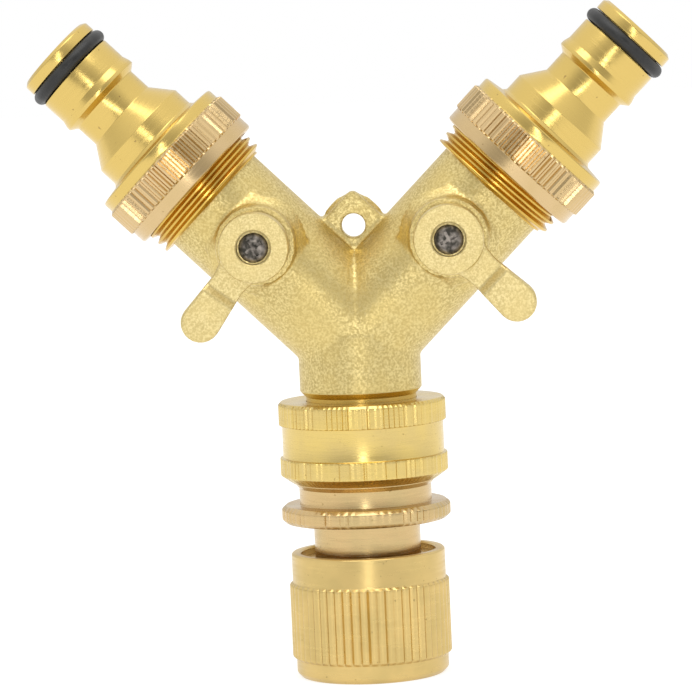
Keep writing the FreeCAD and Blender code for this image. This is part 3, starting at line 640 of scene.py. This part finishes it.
lever = {"head": 6.5, "bottom": 15.4, "top": 22.0, "reach": 17.1, "end": 3.7, "waist": 3.1, "waistAt": 8.5,
         "waistRound": 6, "flare": 0.72,
         "under": 15.6, "pad": 20.2, "neck": 19.2, "padStart": 11.0, "voxel": 0.22, "smoothing": 5,
         "counterbore": 3.15, "counterboreDepth": 1.5, "square": 4.1, "squareTop": 19.7, "screwHole": 1.6,
         "stopInner": 4.4, "stopHeight": 1.6, "stopSweep": 118, "stopStart": 100}


def makeLever():
    flare = lever["head"] * lever["flare"]
    plan = [(0, -flare), (lever["waistAt"], -lever["waist"], lever["waistRound"])]
    for i in range(-6, 7):
        turn = math.radians(i * 15)
        plan.append((lever["reach"] + lever["end"] * math.cos(turn), lever["end"] * math.sin(turn)))
    plan += [(lever["waistAt"], lever["waist"], lever["waistRound"]), (0, flare)]
    arm = prismPiece("leverArm", plan, lever["under"] - 1, lever["top"])
    side = prismPiece("leverSide", [
        (-1, lever["under"]), (lever["reach"] + lever["end"] + 1, lever["under"]),
        (lever["reach"] + lever["end"] + 1, lever["pad"]), (lever["padStart"] + 0.8, lever["pad"], 0.6),
        (lever["padStart"] - 0.6, lever["neck"], 0.8), (lever["head"] * 0.9, lever["neck"], 1),
        (lever["head"] * 0.3, lever["top"]), (-1, lever["top"])], -lever["head"] - 1, lever["head"] + 1)
    cutWith(arm, settle(side, Matrix.Rotation(math.radians(90), 4, "X")), how="INTERSECT")
    head = addRod("leverHead", lever["head"], lever["bottom"], lever["top"], 96)
    piece = joinAll("leverPattern", arm, head)
    useModifier(piece, "REMESH", mode="VOXEL", voxel_size=lever["voxel"] * mm)
    useModifier(piece, "SMOOTH", factor=0.5, iterations=lever["smoothing"])
    cutWith(piece, turnPiece("counterbore", [
        (axisGap, lever["top"] - lever["counterboreDepth"]),
        (lever["counterbore"], lever["top"] - lever["counterboreDepth"], 0.15),
        (lever["counterbore"], lever["top"] - 0.25), (lever["counterbore"] + 0.35, lever["top"] + 0.1),
        (lever["counterbore"] + 0.35, lever["top"] + 1), (axisGap, lever["top"] + 1)], 64))
    half = lever["square"] / 2
    cutWith(piece, prismPiece("squareHole", [(-half, -half), (half, -half), (half, half), (-half, half)],
                              lever["bottom"] - 1, lever["squareTop"]))
    cutWith(piece, addRod("screwHole", lever["screwHole"], lever["bottom"] - 1, lever["top"], 40))
    return piece


def stopGroove(first):    # the room that the lever's underside leaves for the stop on the casting
    ring = []
    count = 16
    for i in range(count + 1):
        turn = math.radians(first + lever["stopSweep"] * i / count)
        ring.append(((lever["head"] + 2) * math.cos(turn), (lever["head"] + 2) * math.sin(turn)))
    for i in range(count, -1, -1):
        turn = math.radians(first + lever["stopSweep"] * i / count)
        ring.append((lever["stopInner"] * math.cos(turn), lever["stopInner"] * math.sin(turn)))
    return prismPiece("stopGroove", ring, lever["bottom"] - 1, lever["bottom"] + lever["stopHeight"] - 0.2)


leverPattern = makeLever()
for side in armTurn:
    handle = copyPiece(leverPattern, side + "Lever")
    first = lever["stopStart"] if side == "left" else -lever["stopStart"] - lever["stopSweep"]
    cutWith(handle, stopGroove(first))
    settle(handle, stemMatrix(side))
    showPiece(handle, side + "_valve", leverBrass, [side + "_handle"])
bpy.data.objects.remove(leverPattern)
print("levers done")

screw = {"head": 2.75, "bottom": 20.5, "top": 21.6, "shank": 1.45, "shankEnd": 15.5, "slot": 0.62,
         "slotDeep": 0.8}


def makeScrew():
    piece = turnPiece("screwPattern", [
        (axisGap, screw["shankEnd"] - 0.5), (screw["shank"] - 0.4, screw["shankEnd"] - 0.5),
        (screw["shank"], screw["shankEnd"]), (screw["shank"], screw["bottom"]),
        (screw["head"], screw["bottom"]), (screw["head"], screw["bottom"] + 0.55, 0.4),
        (screw["head"] * 0.62, screw["top"], 0.8), (axisGap, screw["top"])], 48)
    half = screw["slot"] / 2
    arm = screw["head"] * 0.62
    cross = prismPiece("cross", [
        (-arm, -half), (-half, -half), (-half, -arm), (half, -arm), (half, -half), (arm, -half),
        (arm, half), (half, half), (half, arm), (-half, arm), (-half, half), (-arm, half)],
        screw["top"] - screw["slotDeep"], screw["top"] + 1)
    cutWith(piece, cross)
    return piece


screwPattern = makeScrew()
for side in armTurn:
    fixing = copyPiece(screwPattern, side + "LeverScrew")
    settle(fixing, stemMatrix(side, layout["leverTurn"][side] + 20))
    showPiece(fixing, side + "_valve", screwSteel, [side + "_handle_screw"])
bpy.data.objects.remove(screwPattern)
print("screws done")


# outlets

adaptor = {
    "outline": [             # radius, station along the arm and rounding
        (13.27, 41.3), (14.84, 41.3, 0.6), (14.84, 43.95, 0.1), (15.3, 44.25, 0.12),
        (15.3, 44.75), (15.3, 48.8), (15.3, 49.3, 0.15), (14.66, 49.75, 0.08), (14.66, 50.1),
        (14.66, 51.8, 0.55), (11.0, 52.25, 0.3), (10.4, 52.9, 0.3), (10.4, 56.4, 0.12), (7.35, 60.6, 0.25),
        (7.35, 65.0, 0.3), (8.71, 66.0, 0.15), (8.71, 66.7, 0.25), (8.32, 68.0, 0.3), (8.32, 72.65, 0.12),
        (6.39, 72.65), (6.39, 75.55), (8.32, 75.55, 0.12), (8.32, 77.4, 0.3), (7.5, 78.0, 0.25),
        (6.5, 78.0, 0.3), (5.0, 75.5, 0.4), (5.0, 50.6), (13.27, 50.6)],
    "ringRadius": 7.76, "ringWire": 1.33, "ringPlace": 74.1, "ringCorners": 20, "ringSteps": 96,
}
adaptorTeeth = {"teeth": 68, "gap": [0, 0, 1, 1], "depth": 0.42, "grades": [0.85, 0.95, 1.05, 1.15],
                "low": 44.2, "high": 49.35, "crest": 15.3, "seed": 4}


def makeAdaptor():
    piece = turnPiece("adaptorPattern", adaptor["outline"], stepsFor(adaptorTeeth))
    cutTeeth(piece, adaptorTeeth)
    keepOwnPlace(piece)
    return piece


adaptorPattern = makeAdaptor()
ringTurns = [i * fullTurn / adaptor["ringCorners"] for i in range(adaptor["ringCorners"])]
ringPattern = turnPiece("ringPattern", [
    (adaptor["ringRadius"] + adaptor["ringWire"] * math.cos(turn),
     adaptor["ringPlace"] + adaptor["ringWire"] * math.sin(turn)) for turn in ringTurns],
     adaptor["ringSteps"])
for side in armTurn:
    outlet = copyPiece(adaptorPattern, side + "TapAdaptor")
    settle(outlet, armMatrix(side))
    showPiece(outlet, "splitter", adaptorBrass, [side + "_tap_adaptor"], 28)
    sealRing = copyPiece(ringPattern, side + "ORing")
    settle(sealRing, armMatrix(side))
    showPiece(sealRing, "splitter", blackRubber, [side + "_nipple_o_ring"])
bpy.data.objects.remove(adaptorPattern)
bpy.data.objects.remove(ringPattern)
print("outlets done")


# inlet

nutTeeth = [
    {"teeth": 96, "gap": [0, 0, 1, 0.9], "depth": 0.2, "grades": [0.5, 0.8, 1, 1.2],
     "low": 48.3, "high": 52.3, "crest": 15.9, "seed": 7},
    {"teeth": 96, "gap": [0, 0, 1, 0.9], "depth": 0.2, "grades": [0.5, 0.8, 1, 1.2],
     "low": 38.5, "high": 42.0, "crest": 15.9, "seed": 9}]
nutOutline = [          # radius, height and rounding
    (10.5, 50.45), (10.5, 52.65, 0.2), (15.4, 52.65, 0.25), (15.9, 52.1, 0.2), (15.9, 51.6),
    (15.9, 48.8), (15.9, 48.3, 0.15), (15.33, 48.15, 0.1), (15.33, 42.15, 0.1), (15.9, 42.0, 0.15),
    (15.9, 41.5), (15.9, 39.2), (15.9, 38.7, 0.3), (13.6, 37.1, 0.1), (13.27, 37.1),
    (13.27, 50.45),
]


def makeNut():
    piece = turnPiece("swivelNut", nutOutline, stepsFor(nutTeeth[0]))
    for band in nutTeeth:
        cutTeeth(piece, band)
    keepOwnPlace(piece)
    showPiece(piece, "inlet", nutBrass, ["swivel_nut"], 25)


makeNut()

flangeTeeth = {"teeth": 64, "gap": [1, 0.5, 0, 0, 0.1, 0.6], "depth": 0.26, "grades": [0.3, 0.6, 0.9, 1.2],
               "low": 29.9, "high": 32.6, "crest": 16.04, "seed": 11}
connectorOutline = [    # radius, height and rounding
    (9.65, 0), (9.9, 0, 0.1), (10.1, 0.3, 0.1), (10.1, 0.7), (9.4, 0.7), (9.4, 1.8), (10.1, 1.8),
    (10.1, 20.4), (12.8, 20.4), (12.8, 22.4, 0.15), (10.1, 22.4), (10.1, 29.55, 0.15),
    (15.2, 29.55, 0.3), (16.04, 30.3, 0.35), (16.04, 30.8), (16.04, 31.7), (16.04, 32.2, 0.35),
    (15.2, 32.95, 0.3), (12.57, 32.95, 0.15), (12.57, 36.1, 0.1), (13.2, 36.9), (13.2, 44.2),
    (12.02, 45.4), (6.0, 45.4, 0.2), (6.0, 21.6), (8.6, 21.6), (8.6, 12.1), (8.85, 11.6),
    (8.85, 8.8), (9.05, 8.8), (9.05, 5.0), (8.85, 5.0), (8.85, 0.8),
]


locks = {"count": 4, "height": 6.9, "hole": 1.65, "seat": 1.56, "seatStart": 8.5, "seatEnd": 9.4,
         "drillEnd": 11.5}


def makeConnector():
    piece = turnPiece("connectorBody", connectorOutline, stepsFor(flangeTeeth))
    cutTeeth(piece, flangeTeeth)
    keepOwnPlace(piece)
    for i in range(locks["count"]):
        outwards = (Matrix.Translation((0, 0, locks["height"] * mm))
                    @ Matrix.Rotation(fullTurn * (i + 0.5) / locks["count"], 4, "Z")
                    @ Matrix.Rotation(math.radians(90), 4, "Y"))
        drill = addRod("lockDrill", locks["hole"], locks["seatEnd"] - 0.1, locks["drillEnd"], 32)
        cutWith(piece, settle(drill, outwards))
        seat = addRod("lockSeat", locks["seat"], locks["seatStart"], locks["seatEnd"], 32, locks["hole"])
        cutWith(piece, settle(seat, outwards))
    showPiece(piece, "inlet", pinkBrass, ["connector_body"], 28)


makeConnector()

flutes = {"teeth": 56, "gap": [1, 0.62, 0.2, 0.04, 0, 0.04, 0.2, 0.62], "depth": 0.42,
          "grades": [0.75, 0.9, 1, 1.1], "low": 3.9, "high": 17.85, "crest": 15.2, "seed": 3}
sleeveOutline = [       # radius, height and rounding; the rib inside works the locking balls
    (13.0, 0, 0.2), (13.6, 0, 0.4), (14.48, 0.95, 0.7), (14.48, 3.45, 0.1), (15.2, 4.0, 0.25),
    (15.2, 4.6), (15.2, 17.1), (15.2, 17.7, 0.3), (14.6, 18.15, 0.1), (14.6, 23.45, 0.2),
    (14.3, 23.75, 0.15), (13.15, 23.75, 0.1), (12.85, 23.45), (12.85, 8.9), (11.12, 8.9),
    (11.12, 6.9), (12.27, 2.2), (12.27, 1.95), (13.0, 1.95),
]


def makeSleeve():
    piece = turnPiece("connectorSleeve", sleeveOutline, stepsFor(flutes))
    cutTeeth(piece, flutes)
    keepOwnPlace(piece)
    showPiece(piece, "collar", sleeveBrass, ["connector_sleeve"], 30)


makeSleeve()
print("inlet pieces done")

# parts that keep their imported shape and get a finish
carried = {
    "nut_retaining_ring": springSteel, "inlet_washer": blackRubber, "filter_screen": meshSteel,
    "sleeve_spring": springSteel, "sleeve_snap_ring": springSteel,
}
for i in range(locks["count"]):
    carried[f"locking_ball_{i + 1}"] = ballSteel
turnedInside = steelFinish("turnedInside", (0.66, 0.5, 0.2, 1), (0.55, 0.4, 0.15, 1), 0.25)
for side in armTurn:
    carried.update({
        side + "_valve_stem": turnedInside, side + "_seat_retainer": turnedInside,
        side + "_stem_seals": blackRubber, side + "_adaptor_washer": blackRubber,
        side + "_valve_ball": ballChrome, side + "_inner_seat": whiteSeat, side + "_outer_seat": whiteSeat,
    })
for name, material in carried.items():
    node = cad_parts[name]
    for slotOfNode in node.material_slots:
        slotOfNode.material = material
print("carried parts finished")


# studio

studio = {"front": 0.5, "side": 0.88, "top": 1.1, "floorSeen": 0.72, "floorColour": 0.42,
          "floorSize": 9, "floorDrop": 0.00002}
panels = {                   # place, what it faces, width and height in metres, power
    "frontStrip": ((0.02, -1.5, 0.02), (0, 0, 0.06), (0.16, 1.1), 3.2),
    "topPanel": ((0, -0.5, 1.4), (0, 0, 0.06), (1.2, 0.8), 6),
}


def makeWorld():
    world = bpy.data.worlds.new("studio")
    bpy.context.scene.world = world
    world.use_nodes = True
    tree = world.node_tree
    tree.nodes.clear()
    out = tree.nodes.new("ShaderNodeOutputWorld")
    direction = tree.nodes.new("ShaderNodeTexCoord").outputs["Generated"]
    way = addNode(tree, "ShaderNodeSeparateXYZ", Vector=direction)
    front = addRange(tree, way.outputs["Y"], -1.0, -0.35, studio["front"], studio["side"], True)
    top = addRange(tree, way.outputs["Z"], 0.15, 0.8, 0, studio["top"] - studio["side"], True)
    level = addMath(tree, "ADD", front, top)
    lit = addNode(tree, "ShaderNodeBackground", Strength=level)
    seen = addNode(tree, "ShaderNodeBackground", Strength=1.0)
    for shade in (lit, seen):
        shade.inputs["Color"].default_value = (1, 1, 1, 1)
    path = tree.nodes.new("ShaderNodeLightPath")
    mix = addNode(tree, "ShaderNodeMixShader")
    tree.links.new(path.outputs["Is Camera Ray"], mix.inputs[0])
    tree.links.new(lit.outputs[0], mix.inputs[1])
    tree.links.new(seen.outputs[0], mix.inputs[2])
    tree.links.new(mix.outputs[0], out.inputs["Surface"])


def makeFloor():
    pickNothing()
    bpy.ops.mesh.primitive_plane_add(size=studio["floorSize"], location=(0, 0, -studio["floorDrop"]))
    floor = newPiece("studioFloor")
    material = bpy.data.materials.new("paleFloor")
    material.use_nodes = True
    tree = material.node_tree
    tree.nodes.clear()
    out = tree.nodes.new("ShaderNodeOutputMaterial")
    path = tree.nodes.new("ShaderNodeLightPath")
    seenBy = addMath(tree, "MAXIMUM", path.outputs["Is Camera Ray"], path.outputs["Is Glossy Ray"])
    seenBy = addMath(tree, "MAXIMUM", seenBy, path.outputs["Is Transmission Ray"])
    matt = addNode(tree, "ShaderNodeBsdfDiffuse", Color=(studio["floorColour"],) * 3 + (1,))
    glow = addNode(tree, "ShaderNodeEmission", Color=(1, 1, 1, 1),
                   Strength=addMath(tree, "MULTIPLY", seenBy, studio["floorSeen"]))
    both = tree.nodes.new("ShaderNodeAddShader")
    tree.links.new(matt.outputs[0], both.inputs[0])
    tree.links.new(glow.outputs[0], both.inputs[1])
    tree.links.new(both.outputs[0], out.inputs["Surface"])
    floor.data.materials.append(material)


def addPanel(name, place, aim, size, power):
    lamp = bpy.data.lights.new(name, "AREA")
    lamp.shape = "RECTANGLE"
    lamp.size, lamp.size_y = size
    lamp.energy = power
    holder = bpy.data.objects.new(name, lamp)
    bpy.context.scene.collection.objects.link(holder)
    holder.location = place
    holder.rotation_euler = (Vector(aim) - Vector(place)).to_track_quat("-Z", "Y").to_euler()


makeWorld()
makeFloor()
for name, settings in panels.items():
    addPanel(name, *settings)

# camera

view = {"yaw": 2.05, "pitch": 4.87, "roll": 2.57, "distance": 0.753, "lens": 206.4,
        "target": (-0.00248, 0, 0.06271)}


def makeCamera():
    yaw, pitch, roll = (math.radians(view[key]) for key in ("yaw", "pitch", "roll"))
    turnYaw = Matrix(((math.cos(yaw), math.sin(yaw), 0), (-math.sin(yaw), math.cos(yaw), 0), (0, 0, 1)))
    turnPitch = Matrix(((1, 0, 0), (0, math.cos(pitch), -math.sin(pitch)),
                        (0, math.sin(pitch), math.cos(pitch))))
    turnRoll = Matrix(((math.cos(roll), 0, -math.sin(roll)), (0, 1, 0),
                       (math.sin(roll), 0, math.cos(roll))))
    back = (turnRoll @ turnPitch @ turnYaw).transposed()
    right, forward, up = (back @ Vector(axis) for axis in ((1, 0, 0), (0, 1, 0), (0, 0, 1)))
    place = Vector(view["target"]) - forward * view["distance"]
    camera = bpy.data.objects.new("camera", bpy.data.cameras.new("camera"))
    bpy.context.scene.collection.objects.link(camera)
    camera.data.lens = view["lens"]
    camera.data.clip_start = 0.01
    pose = Matrix((right, up, -forward)).transposed().to_4x4()
    pose.translation = place
    camera.matrix_world = pose
    bpy.context.scene.camera = camera


makeCamera()
bpy.context.scene.view_settings.view_transform = "Standard"
print("studio done")
